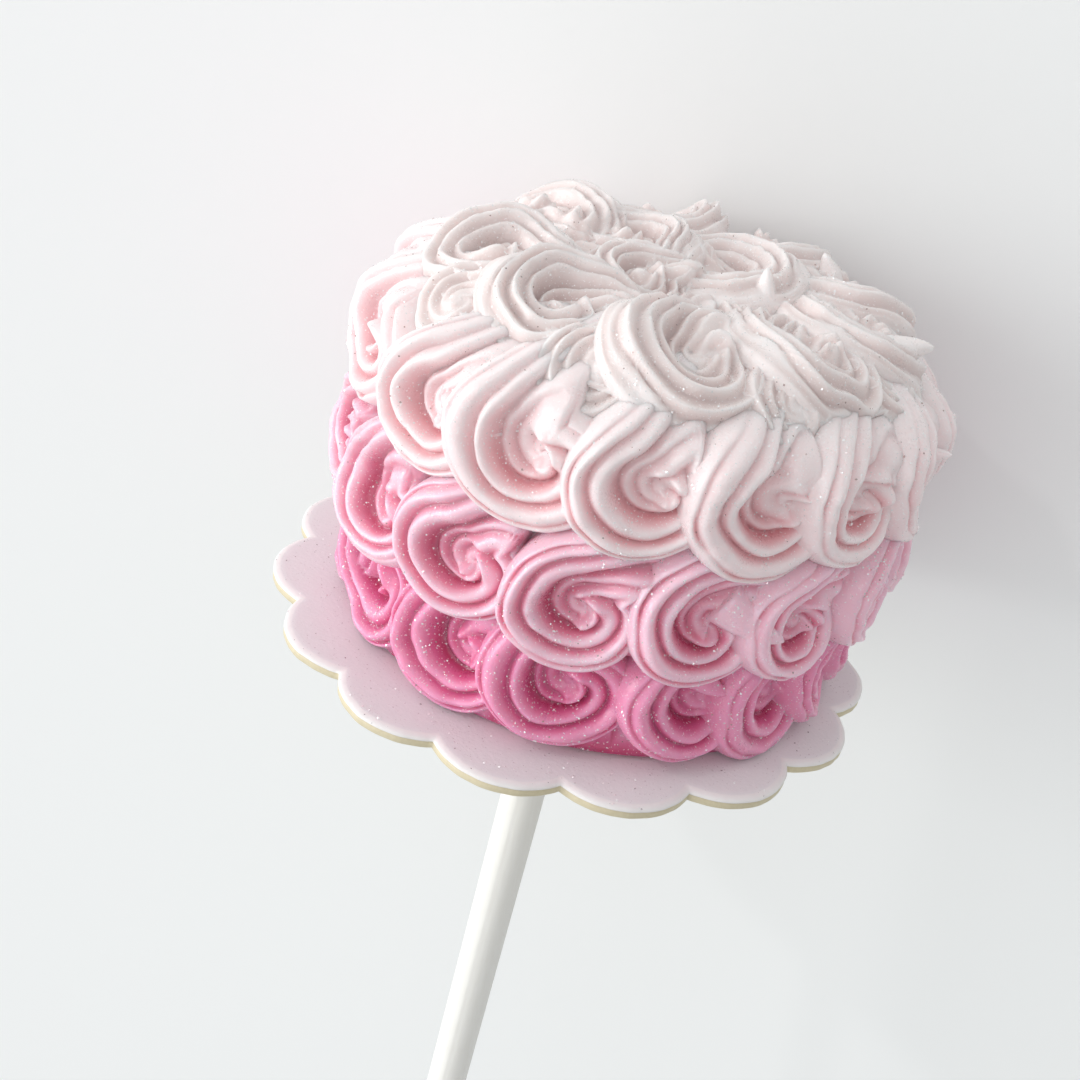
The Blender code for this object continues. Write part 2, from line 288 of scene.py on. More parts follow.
def add_camera():
    place = Vector(CAMERA_PLACE)
    ahead = (Vector(CAMERA_TARGET) - place).normalized()
    right = ahead.cross(Vector((0.0, 0.0, 1.0))).normalized()
    up = right.cross(ahead)
    rolled_right = right * math.cos(CAMERA_ROLL) + up * math.sin(CAMERA_ROLL)
    rolled_up = up * math.cos(CAMERA_ROLL) - right * math.sin(CAMERA_ROLL)
    pose = Matrix((rolled_right, rolled_up, -ahead)).transposed().to_4x4()
    data = bpy.data.cameras.new("camera")
    data.sensor_width = SENSOR
    data.lens = SENSOR * FOCAL_PIXELS / PHOTO_SIDE
    data.clip_start = 0.001
    camera = bpy.data.objects.new("camera", data)
    bpy.context.scene.collection.objects.link(camera)
    camera.matrix_world = TO_WORLD @ Matrix.Translation(place) @ pose
    bpy.context.scene.camera = camera
    return camera


def mesh_object(name, points, faces, smooth=True, **attributes):
    mesh = bpy.data.meshes.new(name)
    mesh.from_pydata(points.tolist(), [], faces)
    for key, values in attributes.items():
        layer = mesh.attributes.new(key, "FLOAT", "POINT")
        layer.data.foreach_set("value", np.asarray(values, np.float32))
    if smooth:
        mesh.shade_smooth()
    obj = bpy.data.objects.new(name, mesh)
    bpy.context.scene.collection.objects.link(obj)
    return obj


def waves(rng, count, shortest, longest):
    """A smooth random field over a plane: a sum of sine waves of mixed length and direction."""
    length = rng.uniform(shortest, longest, count)
    angle = rng.uniform(0, 2 * np.pi, count)
    start = rng.uniform(0, 2 * np.pi, count)

    def field(x, y):
        total = np.zeros_like(x)
        for k, a, p in zip(2 * np.pi / length, angle, start):
            total += np.sin(k * (x * np.cos(a) + y * np.sin(a)) + p)
        return total / math.sqrt(count)
    return field


def eased(value, start, length):
    """Goes smoothly from 0 to 1 while the value goes from start to start and length together."""
    t = np.clip((value - start) / length, 0.0, 1.0)
    return t * t * (3 - 2 * t)


def piping(turns_in, turn_share, fine, grooves, inner_share, style):
    """Depth below the crests across the strip, from how many turns in from the rim a point is."""
    turn = np.floor(turns_in)
    across = turns_in - turn
    lobes = np.arange(len(grooves) + 2)
    phase = np.interp(across, (0, *grooves, 1), lobes)
    valley = (1 - style["crisp"]) * (1 - np.abs(np.sin(np.pi * phase)) ** 0.8)
    valley += style["crisp"] * (1 - np.abs(2 * (phase % 1) - 1) ** 1.3)
    outer = np.interp(phase, lobes, style["outer"]) * np.where(phase < 1.5, fine, 1.0)
    full = inner_share + (1 - inner_share) * eased(turn_share, 0.55, 0.6)
    full = 1 - (1 - full) * eased(phase, 0.0, 0.4)
    inner = np.interp(phase, lobes, style["inner"]) * full
    hump = 0.35 * (1 - style["crisp"]) * (1 - np.sqrt(np.clip(1 - (2 * across - 1) ** 2, 0, 1)))
    flat = np.where((turn < 1) & (across < 0.5), eased(turn_share, 0.0, 0.2), 0.0)
    return valley * np.where(turn < 1, outer, inner) + hump * (1 - flat)


def eye_curl(rng, x, y):
    """The small curved ridge in the bowl, where the piping started."""
    centre = rng.uniform(-0.0004, 0.0004, 2)
    away = np.hypot(x - centre[0], y - centre[1])
    angle = np.arctan2(y - centre[1], x - centre[0]) - rng.uniform(-0.8, 0.8)
    window = eased(np.cos(angle), -0.75, 0.9)
    curve = CURL_RADIUS + 0.0003 * np.sin(angle)
    return rng.uniform(*CURL_HEIGHT) * window * np.exp(-((away - curve) / CURL_WIDTH) ** 2)


def swirl_grid(rng, wide, tall, proud, style):
    """One piped swirl over a flat plane: x, y and height of a polar grid, and how deep in a fold, which
    the icing's colour turns into painted shade.
    """
    cut = CUT_AT + rng.uniform(-CUT_SPREAD, CUT_SPREAD)
    grooves = [rng.uniform(*groove) for groove in style["grooves"]]
    relief = rng.uniform(*RELIEF_SPREAD)
    turn = np.linspace(0, 2 * np.pi, SPOKES, endpoint=False)
    line = OUTLINE_START + OUTLINE_GROWTH * turn / (2 * np.pi)
    back = eased(turn, 2 * np.pi - CUT_BLEND, CUT_BLEND)
    outline = line * (1 - back) + OUTLINE_START * back
    share = 1 - (1 - np.linspace(0, 1, RINGS + 1)[1:]) ** RING_CROWDING
    reach = share[:, None] * outline[None, :]
    angle = cut - turn[None, :]
    facing = rng.uniform(0, 2 * np.pi, 2)
    uneven = 1 + EGG_SHAPE[0] * np.cos(angle - facing[0]) + EGG_SHAPE[1] * np.cos(2 * angle - facing[1])
    x = reach * uneven * wide * np.cos(angle)
    y = reach * uneven * tall * np.sin(angle)
    wobble = waves(rng, **WOBBLE)(x, y)
    swell = waves(rng, **SWELL)(x, y)
    lumps = waves(rng, **LUMPS)(x, y)
    inwards = (outline[None, :] - reach) * (wide + tall) / 2

    # Past the top the strip runs straight on to the upper right, so its folds open out there
    last = turn[None, :] - (2 * np.pi - OPENING)
    opening = eased(last, 0.0, OPENING) * eased(reach, *OPEN_REACH)
    opening = opening * (1 - eased(last - OPENING, -OPENING_EASE, OPENING_EASE))
    folded = reach / (1 + OPEN_BY * opening)
    turns_in = (line[None, :] - folded) / OUTLINE_GROWTH
    turns_in = np.maximum(turns_in + FOLD_WANDER * wobble * eased(inwards, 0.0, 0.0012), 0.0)
    turn_share = np.broadcast_to(turn[None, :] / (2 * np.pi), turns_in.shape)
    fine = np.clip(style["fine"] + 0.4 * wobble, 0.3, 1.1)
    valley = piping(turns_in, turn_share, fine, grooves, rng.uniform(*style["inner_share"]), style)
    near_eye = eased(reach, *EYE_REACH)
    depth = relief * style["fold"] * valley * (0.15 + 0.85 * near_eye)

    # The bowl drops sharply under the innermost ridge, most on the side away from the cut
    side = 0.35 + 0.65 * (0.5 + 0.5 * np.cos(angle - STEP_SIDE))
    ramp = eased(turns_in, *BOWL_TURNS) * (1 - eased(turn_share, *BOWL_END))
    ring = eased(reach, *BOWL_REACH)
    drop = ring * side * ramp + (1 - ring) * 0.6
    drop = drop * min(1.0, wide / FULL_DROP_WIDE)
    tail = eased(turn, 2 * np.pi - TAIL, TAIL)[None, :]
    tail = tail * (1 - eased(turns_in, *TAIL_TURNS))
    bowl = 1 - BOWL * np.exp(-(reach / BOWL_WIDE) ** 2.5)
    rim = inwards / style["rim"] * (1 + 0.12 * wobble)
    rim = np.clip(rim + style["terrace"] * np.sin(4 * np.pi * rim) / (4 * np.pi), 0, 1)
    edge = (1 - (1 - rim) ** 2) ** style["rim_power"]
    height = proud * bowl * (1 - 0.3 * tail) - depth - style["step"] * drop
    height = edge * (height + SWELL_HEIGHT * swell + LUMP_HEIGHT * lumps)
    height = height + eye_curl(rng, x, y) * style["step"] / SIDE_STYLE["step"]
    # The last value is painted shade: deeper in a fold, and more where the bowl drops
    return x, y, height, valley * (0.25 + 0.75 * near_eye) + 0.3 * drop


def swirl_shell(rng, wide, tall, proud, style):
    """The grid closed below: points in the swirl's frame, faces, and the fold attribute, painted shade
    that is strongest on the hidden underside.
    """
    x, y, height, fold = swirl_grid(rng, wide, tall, proud, style)
    rings, spokes = x.shape
    eye = height[0].mean()
    xs = [np.zeros(1), x.ravel()] + [x[-1] * s for s, _ in UNDERSIDE] + [np.zeros(1)]
    ys = [np.zeros(1), y.ravel()] + [y[-1] * s for s, _ in UNDERSIDE] + [np.zeros(1)]
    zs = [np.array([eye]), height.ravel()] + [np.full(spokes, z) for _, z in UNDERSIDE]
    zs.append(np.array([UNDERSIDE_LOW]))
    # Painted shade: the hidden underside gets the darker groove colours
    fold_shades = np.concatenate([[0.0], fold.ravel(), np.full(spokes * len(UNDERSIDE) + 1, HIDDEN_SHADE)])
    points = np.stack([np.concatenate(xs), np.concatenate(ys), np.concatenate(zs)], axis=1)
    faces = []
    loops = rings + len(UNDERSIDE)
    nxt = [(n + 1) % spokes for n in range(spokes)]
    for n in range(spokes):
        faces.append((0, 1 + nxt[n], 1 + n))
    for r in range(loops - 1):
        a = 1 + r * spokes
        b = a + spokes
        for n in range(spokes):
            faces.append((a + n, a + nxt[n], b + nxt[n], b + n))
    last = 1 + (loops - 1) * spokes
    for n in range(spokes):
        faces.append((last + n, last + nxt[n], len(points) - 1))
    points[:, 2] -= SUNK + style["left_proud"] * points[:, 0] + style["lower_proud"] * points[:, 1]
    return points, faces, fold_shades


def on_band(points, azimuth, band):
    """Bends a swirl round a band's core and over its shoulder, and puts it at its azimuth."""
    core = band["core"]
    over = np.maximum(points[:, 1] - band["shoulder"], 0.0)
    out = core + points[:, 2] - band["recede"] * over ** 2
    around = azimuth + points[:, 0] / core
    high = np.maximum(points[:, 1] + band["middle"], DISC_GAP)
    return np.stack([out * np.sin(around) + CAKE_SHIFT, -out * np.cos(around), high], axis=1)


def on_top(points, azimuth, radius):
    """Puts a swirl on the flat top, and bends what reaches past the shoulder down round it."""
    cos, sin = math.cos(azimuth), math.sin(azimuth)
    x = points[:, 0] * cos - points[:, 1] * sin + radius * sin
    y = points[:, 0] * sin + points[:, 1] * cos - radius * cos
    away = np.hypot(x, y)
    bent = np.maximum(away - TOP_FLAT, 0.0) / TOP_BEND
    reach = TOP_BEND + points[:, 2]
    out = np.where(bent > 0, TOP_FLAT + reach * np.sin(bent), away)
    high = np.where(bent > 0, TOP_HIGH - TOP_BEND + reach * np.cos(bent), TOP_HIGH + points[:, 2])
    scale = out / np.maximum(away, 1e-9)
    return np.stack([x * scale + TOP_SHIFT, y * scale, high], axis=1)


def closed_tube(rings, sides):
    """Faces of a tube made of rings of points, with a flat face at each end."""
    last = (rings - 1) * sides
    faces = [tuple(range(sides))[::-1], tuple(range(last, last + sides))]
    for base in range(0, last, sides):
        for n in range(sides):
            m = (n + 1) % sides
            faces.append((base + n, base + m, base + sides + m, base + sides + n))
    return faces


def tail_shell(rng, start, end, wide, loops=12, spokes=16):
    """A small tapering tail from start to end, a little bent: points, faces and a fold attribute of
    nought, so no painted shade.
    """
    start, end = np.array(start) * MM, np.array(end) * MM
    along = end - start
    length = np.linalg.norm(along)
    side = np.cross(along, (0.3, 0.2, 1.0))
    side /= np.linalg.norm(side)
    other = np.cross(along / length, side)
    bend = rng.uniform(-0.25, 0.25, 2) * length
    turn = np.linspace(0, 2 * np.pi, spokes, endpoint=False)
    points = []
    for t in np.linspace(0, 1, loops):
        radius = wide * MM * (1 - t) ** 0.5 * (1 - 0.35 * t) + 0.00004
        ripple = radius * (1 + 0.12 * np.cos(3 * turn + 2 * t))
        centre = start + along * t + (side * bend[0] + other * bend[1]) * t * (1 - t) * 2
        outwards = np.cos(turn)[:, None] * side + np.sin(turn)[:, None] * other
        points.append(centre + ripple[:, None] * outwards)
    points = np.concatenate(points)
    return points, closed_tube(loops, spokes), np.zeros(len(points))


def core_points(profile, shift):
    """A turned core from a profile of radius and height, lowest first: its points and faces."""
    turn = np.linspace(0, 2 * np.pi, CORE_SIDES, endpoint=False)
    around = np.stack([np.cos(turn), np.sin(turn)], axis=1)
    points = np.concatenate([np.column_stack([around * r + (shift, 0), np.full(CORE_SIDES, z)])
                             for r, z in profile])
    return points, closed_tube(len(profile), CORE_SIDES)


def join_all(name, shells):
    """One closed skin from a core and the swirls that overlap on it."""
    group = bpy.data.collections.new(name + "_shells")
    bpy.context.scene.collection.children.link(group)
    core = shells[0]
    for shell in shells[1:]:
        bpy.context.scene.collection.objects.unlink(shell)
        group.objects.link(shell)
    modifier = core.modifiers.new("join", "BOOLEAN")
    modifier.operation = "UNION"
    modifier.operand_type = "COLLECTION"
    modifier.collection = group
    modifier.solver = "MANIFOLD"
    soften = core.modifiers.new("soften", "SMOOTH")
    soften.factor = 0.4
    soften.iterations = 2
    evaluated = core.evaluated_get(bpy.context.evaluated_depsgraph_get())
    mesh = bpy.data.meshes.new_from_object(evaluated)
    mesh.name = name
    core.modifiers.clear()
    core.data = mesh
    core.name = name
    for shell in shells[1:]:
        bpy.data.objects.remove(shell)
    bpy.data.collections.remove(group)
    return core


def band_piece(node, seed):
    band = BANDS[node]
    rng = np.random.default_rng(seed)
    core, low, high = band["core"], band["low"], band["high"]
    profile = [(core, low)] if node != "bottom_row" else list(SKIRT)
    profile += [(core - inset, high - depth) for inset, depth in UPPER_EDGE]
    points, faces = core_points(profile, CAKE_SHIFT)
    # Painted shade: the band's hidden core gets the darker groove colours
    fold_shades = np.full(len(points), HIDDEN_SHADE)
    shells = [mesh_object(node + "_swirls", to_world(points), faces, fold=fold_shades)]
    for n in range(PER_BAND):
        step = n if n <= PER_BAND // 2 else n - PER_BAND
        angle = 2 * math.pi * step / PER_BAND
        azimuth = angle + math.radians(band["turned"]) * (1 + math.cos(angle)) / 2
        azimuth += math.radians(band["nudges"].get(step, 0))
        size = 1 + rng.uniform(-SIZE_SPREAD, SIZE_SPREAD)
        proud = band["proud"] * (1 + rng.uniform(-SIZE_SPREAD, SIZE_SPREAD))
        wide, tall = band["wide"] * size, band["tall"] * size
        points, faces, fold_shades = swirl_shell(rng, wide, tall, proud, SIDE_STYLE)
        points = to_world(on_band(points, azimuth, band))
        shells.append(mesh_object(f"{node}_shell", points, faces, fold=fold_shades))
    for tail in TAILS[node]:
        points, faces, fold_shades = tail_shell(rng, tail["start"], tail["end"], tail["wide"])
        points = to_world(on_band(points, math.radians(tail["turned"]), band))
        shells.append(mesh_object(f"{node}_tail", points, faces, fold=fold_shades))
    return join_all(node + "_swirls", shells)


def top_piece(seed):
    rng = np.random.default_rng(seed)
    lowest = math.acos(1 - (TOP_HIGH - TOP_LOW - TOP_LIP) / TOP_BEND)
    profile = [(TOP_CORE, TOP_LOW), (TOP_CORE, TOP_LOW + TOP_LIP)]
    profile += [(TOP_FLAT + TOP_BEND * math.sin(bent), TOP_HIGH - TOP_BEND * (1 - math.cos(bent)))
                for bent in np.linspace(lowest, 0, 6)]
    points, faces = core_points(profile, TOP_SHIFT)
    # Painted shade: the top's core, seen between the swirls, gets part of the darker groove colours
    fold_shades = np.full(len(points), TOP_CORE_SHADE)
    shells = [mesh_object("top_icing_swirls", to_world(points), faces, fold=fold_shades)]
    for swirl in TOP_SWIRLS + TOP_FILLERS:
        size = swirl["wide"] * MM
        if swirl in TOP_FILLERS:
            points, faces, fold_shades = swirl_shell(rng, size, size, TOP_PROUD * FILLER_PROUD, PLAIN_STYLE)
        else:
            style = TOP_STYLE | {"lower_proud": swirl.get("lower_proud", TOP_STYLE["lower_proud"])}
            points, faces, fold_shades = swirl_shell(rng, size, size, TOP_PROUD, style)
        points[:, 2] += swirl.get("lift", 0.0) * MM
        points = to_world(on_top(points, math.radians(swirl["turned"]), swirl["out"] * MM))
        shells.append(mesh_object("top_shell", points, faces, fold=fold_shades))
    for tail in TAILS["top_icing"]:
        points, faces, fold_shades = tail_shell(rng, tail["start"], tail["end"], tail["wide"])
        points = to_world(on_top(points, math.radians(tail["turned"]), tail["out"] * MM))
        shells.append(mesh_object("top_tail", points, faces, fold=fold_shades))
    return join_all("top_icing_swirls", shells)


def settle(piece, low, high):
    """Keeps a piece above the floor, and stores how far up its band each point is, from 0 to 1."""
    mesh = piece.data
    places = np.empty(len(mesh.vertices) * 3, np.float32)
    mesh.vertices.foreach_get("co", places)
    places = places.reshape(-1, 3)
    places[:, 2] = np.maximum(places[:, 2], LOWEST)
    mesh.vertices.foreach_set("co", places.ravel())
    back = np.array(TO_WORLD.inverted())
    up = places @ back[2, :3] + back[2, 3]
    layer = mesh.attributes.new("rise", "FLOAT", "POINT")
    layer.data.foreach_set("value", np.clip((up - low) / (high - low), 0, 1).astype(np.float32))


def scallop_edge(turn, inset):
    """Distance from the middle to the disc's edge, at an azimuth, for an edge moved in by inset."""
    step = 2 * np.pi / SCALLOPS
    off = (turn + step / 2) % step - step / 2
    centre = DISC_RADIUS - SCALLOP_RADIUS
    return centre * np.cos(off) + np.sqrt((SCALLOP_RADIUS - inset) ** 2 - (centre * np.sin(off)) ** 2)


def board_piece():
    """The scalloped disc: a papered face with a rounded white shoulder, its white partly a painted
    highlight, above a cream cut side.
    """
    sides = SCALLOPS * 32
    turn = np.linspace(0, 2 * np.pi, sides, endpoint=False)
    hole = STICK_DIAMETER / 2 + HOLE_GAP
    loops = [(np.full(sides, hole), -DISC_THICKNESS, 2.0), (np.full(sides, hole), 0.0, 0.0)]
    loops += [(np.full(sides, DISC_RADIUS * share), 0.0, 0.0) for share in (0.3, 0.6, 0.85)]
    field = waves(np.random.default_rng(EDGE_SEED), **EDGE_WAVES)
    uneven = field(DISC_RADIUS * np.sin(turn), DISC_RADIUS * np.cos(turn))
    rough = EDGE_ROUGH * np.clip(1 + 0.6 * uneven, 0, 2)
    loops += [(scallop_edge(turn, inset + rough), high, edge) for inset, high, edge in RIM]
    loops += [(np.full(sides, DISC_RADIUS * share), -DISC_THICKNESS, 2.0) for share in (0.85, 0.5)]
    points = np.concatenate([np.stack([r * np.sin(turn), -r * np.cos(turn), np.full(sides, z)], axis=1)
                             for r, z, _ in loops])
    edges = np.repeat([edge for _, _, edge in loops], sides)
    faces = []
    for k in range(len(loops)):
        a = k * sides
        b = (k + 1) % len(loops) * sides
        for n in range(sides):
            m = (n + 1) % sides
            faces.append((a + n, b + n, b + m, a + m))
    return mesh_object("scalloped_disc", to_world(points), faces, edge=edges)


def stick_piece():
    """The rolled paper stick: a faint seam along it and the roll showing at its ends."""
    sides, cuts = 72, 40
    turn = np.linspace(0, 2 * np.pi, sides, endpoint=False)
    radius = STICK_DIAMETER / 2
    skin = radius - PAPER_STEP * (1 - turn / (2 * np.pi))
    top = STICK_IN_CAKE
    foot = STICK_IN_CAKE - STICK_LENGTH
    loops = [(skin * share, top) for share in (0.3, 0.7, 0.96)] + [(skin, top - END_ROUND)]
    loops += [(skin, top + (foot - top) * k / cuts) for k in range(1, cuts)]
    loops += [(skin, foot + END_ROUND), (skin * 0.95, foot)]
    for share in np.linspace(0.9, 0.1, 22):
        roll = np.sin(2 * np.pi * (share * PAPER_TURNS + turn / (2 * np.pi)))
        loops.append((skin * share, foot + PAPER_DEPTH - PAPER_DEPTH * roll))
    points = [np.stack([r * np.sin(turn), -r * np.cos(turn), np.broadcast_to(z, sides)], axis=1)
              for r, z in loops]
    points = np.concatenate(points + [[(0.0, 0.0, foot + FOOT_DIMPLE)], [(0.0, 0.0, top)]])
    faces = []
    for a in range(0, (len(loops) - 1) * sides, sides):
        for n in range(sides):
            m = (n + 1) % sides
            faces.append((a + n, a + sides + n, a + sides + m, a + m))
    last = (len(loops) - 1) * sides
    for n in range(sides):
        m = (n + 1) % sides
        faces.append((last + n, len(points) - 2, last + m))
        faces.append((n, m, len(points) - 1))
    return mesh_object("paper_stick", to_world(points), faces)


def triangles_of(pieces):
    """The corners of all the pieces' triangles."""
    corners = []
    for piece in pieces:
        mesh = piece.data
        mesh.calc_loop_triangles()
        verts = np.empty(len(mesh.vertices) * 3, np.float32)
        mesh.vertices.foreach_get("co", verts)
        index = np.empty(len(mesh.loop_triangles) * 3, np.int32)
        mesh.loop_triangles.foreach_get("vertices", index)
        corners.append(verts.reshape(-1, 3)[index.reshape(-1, 3)])
    return np.concatenate(corners).astype(float)


def flakes_on(name, pieces, count, seed):
    """Four-sided flakes, thickest in the middle, strewn in drifts over the pieces at a slight tilt.

    None lie right by the floor or on the disc's lower face.
    """
    rng = np.random.default_rng(seed)
    corners = triangles_of(pieces)
    corners = corners[corners[:, :, 2].min(axis=1) > BARE_BY_FLOOR]
    back = np.array(TO_WORLD.inverted())
    up = corners.mean(axis=1) @ back[2, :3] + back[2, 3]
    corners = corners[up > BARE_BELOW]
    edge_a = corners[:, 1] - corners[:, 0]
    edge_b = corners[:, 2] - corners[:, 0]
    cross = np.cross(edge_a, edge_b)
    area = np.linalg.norm(cross, axis=1)
    centre = corners.mean(axis=1)
    cloud = waves(rng, **FLAKE_CLOUDS)(centre[:, 0] + centre[:, 2], centre[:, 1] - centre[:, 2])
    share = area * np.exp(FLAKE_CLUSTER * cloud)
    pick = rng.choice(len(area), count, p=share / share.sum())
    u, v = rng.random((2, count))
    flip = u + v > 1
    u[flip] = 1 - u[flip]
    v[flip] = 1 - v[flip]
    place = corners[pick, 0] + u[:, None] * edge_a[pick] + v[:, None] * edge_b[pick]
    normal = cross[pick] / area[pick, None] + rng.normal(0, FLAKE_LEAN, (count, 3))
    normal /= np.linalg.norm(normal, axis=1)[:, None]
    side = np.cross(normal, rng.normal(size=(count, 3)))
    side /= np.linalg.norm(side, axis=1)[:, None]
    other = np.cross(normal, side)
    radius = rng.uniform(*FLAKE_RADIUS, count)
    four = np.arange(4)[None, :, None] * np.pi / 2
    ring = np.cos(four) * side[:, None] + FLAKE_NARROW * np.sin(four) * other[:, None]
    ring = ring * radius[:, None, None] + place[:, None]
    ring = ring + FLAKE_LIFT * (cross[pick] / area[pick, None] * radius[:, None])[:, None]
    middle = ring.mean(axis=1, keepdims=True)
    lift = normal[:, None] * FLAKE_THICK
    points = np.concatenate([ring, middle + lift, middle - lift], axis=1).reshape(-1, 3)
    points[:, 2] = np.maximum(points[:, 2], LOWEST)
    faces = []
    for a in range(0, len(points), 6):
        for n in range(4):
            m = (n + 1) % 4
            faces.append((a + n, a + m, a + 4))
            faces.append((a + m, a + n, a + 5))
    # A random lot for each flake picks the few that get the painted dark reflection
    return mesh_object(name, points, faces, smooth=False, tone=np.repeat(rng.random(count), 6))


def new_material(name):
    material = bpy.data.materials.new(name)
    material.use_nodes = True
    tree = material.node_tree
    shader = tree.nodes["Principled BSDF"]
    return material, tree, shader


def feed(tree, socket, value):
    if isinstance(value, bpy.types.NodeSocket):
        tree.links.new(value, socket)
    else:
        socket.default_value = value


def calc(tree, operation, *values):
    node = tree.nodes.new("ShaderNodeMath")
    node.operation = operation
    for socket, value in zip(node.inputs, values):
        feed(tree, socket, value)
    return node.outputs[0]


def mixed(tree, factor, first, second):
    node = tree.nodes.new("ShaderNodeMix")
    node.data_type = "RGBA"
    feed(tree, node.inputs[0], factor)
    feed(tree, node.inputs[6], (*first, 1.0) if isinstance(first, tuple) else first)
    feed(tree, node.inputs[7], (*second, 1.0) if isinstance(second, tuple) else second)
    return node.outputs[2]


def attribute(tree, name):
    node = tree.nodes.new("ShaderNodeAttribute")
    node.attribute_name = name
    return node.outputs["Fac"]


def noise(tree, size, detail=2.0, stretch=(1.0, 1.0, 1.0)):
    """Noise fixed to the object, with features of about the given size in metres."""
    place = tree.nodes.new("ShaderNodeTexCoord")
    scale = tree.nodes.new("ShaderNodeMapping")
    scale.inputs["Scale"].default_value = tuple(s / size for s in stretch)
    node = tree.nodes.new("ShaderNodeTexNoise")
    node.inputs["Scale"].default_value = 1.0
    node.inputs["Detail"].default_value = detail
    tree.links.new(place.outputs["Object"], scale.inputs["Vector"])
    tree.links.new(scale.outputs["Vector"], node.inputs["Vector"])
    return node.outputs["Fac"]


def steps(tree, factor, *stops):
    """A colour ramp from pairs of position and colour."""
    node = tree.nodes.new("ShaderNodeValToRGB")
    ramp = node.color_ramp
    while len(ramp.elements) < len(stops):
        ramp.elements.new(0.5)
    for element, (position, colour) in zip(ramp.elements, stops):
        element.position = position
        element.color = (*colour, 1.0)
    tree.links.new(factor, node.inputs["Fac"])
    return node.outputs["Color"]


def spread(tree, value, low, high):
    """Stretches the values between low and high to 0 and 1."""
    node = tree.nodes.new("ShaderNodeMapRange")
    feed(tree, node.inputs["Value"], value)
    node.inputs["From Min"].default_value = low
    node.inputs["From Max"].default_value = high
    return node.outputs["Result"]


def add_bump(tree, shader, height, strength, distance):
    bump = tree.nodes.new("ShaderNodeBump")
    bump.inputs["Strength"].default_value = strength
    bump.inputs["Distance"].default_value = distance
    tree.links.new(height, bump.inputs["Height"])
    tree.links.new(bump.outputs["Normal"], shader.inputs["Normal"])


def icing_material(name, crest, middle, groove, pale, fade, scatter):
    """Satin buttercream: painted shade as deeper, darker colour in the grooves and on hidden parts,
    pale specks that are partly glitter powder and partly painted sparkle, mottled, paler where its band
    fades upwards.
    """
    material, tree, shader = new_material(name)
    mottle = noise(tree, 0.0035, 3.0)
    grain = noise(tree, 0.00045, 3.0)
    # Painted shade: the fold value picks the middle and groove colours, darker and deeper than the
    # crest colour
    fold = calc(tree, "ADD", attribute(tree, "fold"), calc(tree, "MULTIPLY_ADD", mottle, 0.5, -0.25))
    colour = steps(tree, fold, (0.10, crest), (0.50, middle), (1.0, groove))
    rise = calc(tree, "ADD", attribute(tree, "rise"), calc(tree, "MULTIPLY_ADD", mottle, 0.3, -0.15))
    colour = mixed(tree, spread(tree, rise, *fade), colour, pale)
    colour = mixed(tree, calc(tree, "MULTIPLY", grain, 0.12), colour, middle)
    # Pale specks, partly real glitter powder and partly painted sparkle
    dust_and_sparkle = calc(tree, "MULTIPLY", spread(tree, noise(tree, 0.00014, 0.0), 0.72, 0.80), 0.8)
    tree.links.new(mixed(tree, dust_and_sparkle, colour, DUST_AND_SPARKLE), shader.inputs["Base Color"])
    rough = calc(tree, "MULTIPLY_ADD", noise(tree, 0.0018, 2.0), 0.22, 0.13)
    rough = calc(tree, "MULTIPLY_ADD", noise(tree, 0.00016, 1.0), 0.16, rough)
    tree.links.new(rough, shader.inputs["Roughness"])
    shader.inputs["Specular IOR Level"].default_value = 0.75
    add_bump(tree, shader, noise(tree, 0.00022, 3.0), 0.5, 0.00008)
    shader.inputs["Subsurface Weight"].default_value = 0.65
    shader.inputs["Subsurface Radius"].default_value = scatter
    shader.inputs["Subsurface Scale"].default_value = 0.0014
    return material


def board_material():
    """Pale paper with fine specks, a white shoulder whose white is partly a painted highlight, and a
    cream cut side.
    """
    material, tree, shader = new_material("card_paper")
    edge = attribute(tree, "edge")
    cloud = noise(tree, 0.009, 3.0)
    specks = spread(tree, noise(tree, 0.00016, 1.0), 0.70, 0.76)
    face = mixed(tree, cloud, *FACE_PAPER)
    face = mixed(tree, calc(tree, "MULTIPLY", specks, 0.5), face, FACE_SPECKS)
    # The shoulder's white, partly the paper's own and partly a painted highlight
    white = mixed(tree, noise(tree, 0.0006, 2.0), *WHITE_SHOULDER_AND_HIGHLIGHT)
    cut = mixed(tree, noise(tree, 0.0003, 2.0), *CUT_CARD)
    colour = mixed(tree, spread(tree, edge, 0.2, 0.9), face, white)
    tree.links.new(mixed(tree, spread(tree, edge, 1.2, 1.8), colour, cut), shader.inputs["Base Color"])
    shader.inputs["Roughness"].default_value = 0.5
    add_bump(tree, shader, noise(tree, 0.0003, 3.0), 0.35, 0.00005)
    return material


def stick_material():
    """Rolled white paper with fibres along the stick."""
    material, tree, shader = new_material("rolled_paper")
    fibres = noise(tree, 0.0003, 3.0, stretch=(1.0, 0.06, 1.0))
    tree.links.new(mixed(tree, fibres, *STICK_PAPER), shader.inputs["Base Color"])
    shader.inputs["Roughness"].default_value = 0.55
    add_bump(tree, shader, fibres, 0.3, 0.00004)
    return material


def glitter_material(name, metal, bright, dark_reflection):
    """Silvery flakes, most of them bright and a few darkened as a painted reflection of dark
    surroundings.
    """
    material, tree, shader = new_material(name)
    # Painted reflection: flakes whose random lot is high take the darker colour
    tone = spread(tree, attribute(tree, "tone"), 0.90, 0.93)
    tree.links.new(mixed(tree, tone, bright, dark_reflection), shader.inputs["Base Color"])
    shader.inputs["Metallic"].default_value = metal
    shader.inputs["Roughness"].default_value = 0.2
    return material


